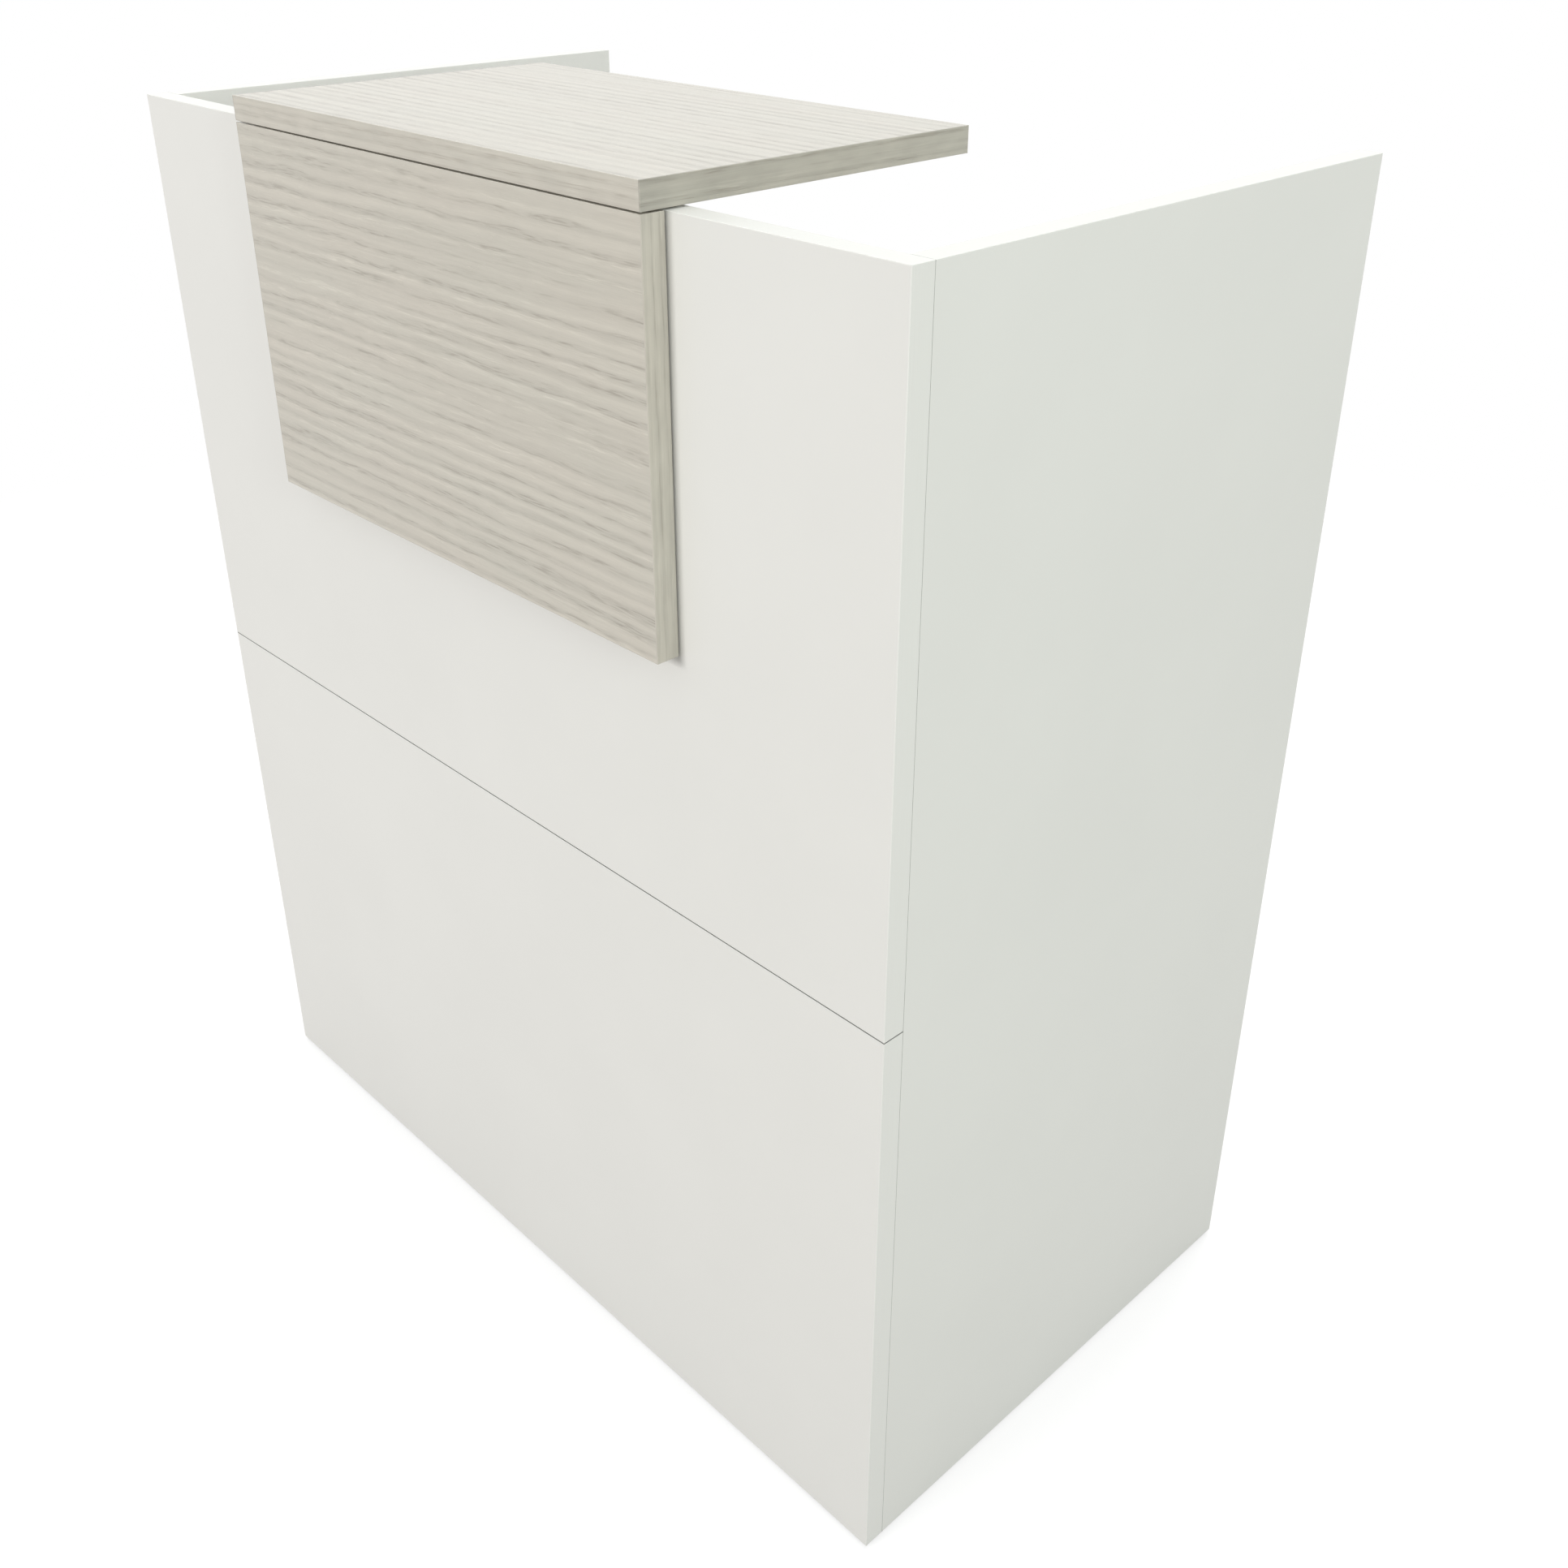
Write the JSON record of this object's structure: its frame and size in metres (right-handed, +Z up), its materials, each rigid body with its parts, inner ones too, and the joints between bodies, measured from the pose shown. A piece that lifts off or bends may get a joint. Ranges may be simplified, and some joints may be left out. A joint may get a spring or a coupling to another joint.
{
  "type": "shop counter",
  "caption": "Compact white shop counter, open at the staff's side, with an oak-effect accent panel on the front, an oak-effect transaction shelf on top, a work surface and levelling feet.",
  "frame": {"origin": "on the floor, under the middle of the bounding box", "axes": "+Z up, -Y towards the customers, +X to the right as the customers see it"},
  "size_m": [0.9, 0.52, 1.0632],
  "materials": {
    "white_board": "melamine-faced particle board, satin white",
    "white_edging": "1 mm white edging, satin",
    "oak_board": "oak-effect laminate on board, matt, fine straight grain along the length",
    "oak_edging": "1 mm oak-effect edging, matt",
    "dowel_wood": "plain beech",
    "cam_zinc": "cast zinc, bright",
    "zinc_steel": "zinc-plated steel",
    "white_steel": "white powder-coated steel",
    "white_cap": "white plastic, satin",
    "spacer_plastic": "grey plastic, matt",
    "pad_plastic": "black nylon, matt"
  },
  "bodies": {
    "carcass": {"left_side_panel": "white_board", "right_side_panel": "white_board", "upper_front_panel": "white_board", "lower_front_panel": "white_board", "work_surface": "white_board", "seam_rail": "white_board", "left_side_edging": "white_edging", "right_side_edging": "white_edging", "upper_front_edging": "white_edging", "lower_front_edging": "white_edging", "work_surface_edging": "white_edging", "seam_rail_edging": "white_edging", "accent_panel": "oak_board", "transaction_shelf": "oak_board", "accent_edging": "oak_edging", "transaction_shelf_edging": "oak_edging", "wood_dowels": "dowel_wood", "cam_locks": "cam_zinc", "cam_bolts": "zinc_steel", "rail_screws": "zinc_steel", "accent_screws": "zinc_steel", "shelf_bracket_screws": "zinc_steel", "foot_bracket_screws": "zinc_steel", "front_left_foot_bracket": "zinc_steel", "front_right_foot_bracket": "zinc_steel", "back_left_foot_bracket": "zinc_steel", "back_right_foot_bracket": "zinc_steel", "left_shelf_bracket": "white_steel", "right_shelf_bracket": "white_steel", "cam_caps": "white_cap", "accent_spacers": "spacer_plastic"},
    "front_left_pad": {"front_left_foot_pad": "pad_plastic"},
    "front_left_stem": {"front_left_foot_stem": "zinc_steel"},
    "front_right_pad": {"front_right_foot_pad": "pad_plastic"},
    "front_right_stem": {"front_right_foot_stem": "zinc_steel"},
    "back_left_pad": {"back_left_foot_pad": "pad_plastic"},
    "back_left_stem": {"back_left_foot_stem": "zinc_steel"},
    "back_right_pad": {"back_right_foot_pad": "pad_plastic"},
    "back_right_stem": {"back_right_foot_stem": "zinc_steel"}
  },
  "joints": [
    {"name": "front_left_pad_slide", "type": "slide", "parent": "carcass", "child": "front_left_pad", "axis": [0, 0, -1], "range_m": [0, 0.012]},
    {"name": "front_left_stem_turn", "type": "hinge", "parent": "front_left_pad", "child": "front_left_stem", "pos_m": [-0.403, -0.176, 0.02], "axis": [0, 0, -1], "range_deg": [0, 3457]},
    {"name": "front_right_pad_slide", "type": "slide", "parent": "carcass", "child": "front_right_pad", "axis": [0, 0, -1], "range_m": [0, 0.012]},
    {"name": "front_right_stem_turn", "type": "hinge", "parent": "front_right_pad", "child": "front_right_stem", "pos_m": [0.403, -0.176, 0.02], "axis": [0, 0, -1], "range_deg": [0, 3457]},
    {"name": "back_left_pad_slide", "type": "slide", "parent": "carcass", "child": "back_left_pad", "axis": [0, 0, -1], "range_m": [0, 0.012]},
    {"name": "back_left_stem_turn", "type": "hinge", "parent": "back_left_pad", "child": "back_left_stem", "pos_m": [-0.403, 0.215, 0.02], "axis": [0, 0, -1], "range_deg": [0, 3457]},
    {"name": "back_right_pad_slide", "type": "slide", "parent": "carcass", "child": "back_right_pad", "axis": [0, 0, -1], "range_m": [0, 0.012]},
    {"name": "back_right_stem_turn", "type": "hinge", "parent": "back_right_pad", "child": "back_right_stem", "pos_m": [0.403, 0.215, 0.02], "axis": [0, 0, -1], "range_deg": [0, 3457]}
  ],
  "couplings": [
    {"joint": "front_left_stem_turn", "follows": "front_left_pad_slide", "rad_per_m": 5026.5},
    {"joint": "front_right_stem_turn", "follows": "front_right_pad_slide", "rad_per_m": 5026.5},
    {"joint": "back_left_stem_turn", "follows": "back_left_pad_slide", "rad_per_m": 5026.5},
    {"joint": "back_right_stem_turn", "follows": "back_right_pad_slide", "rad_per_m": 5026.5}
  ]
}
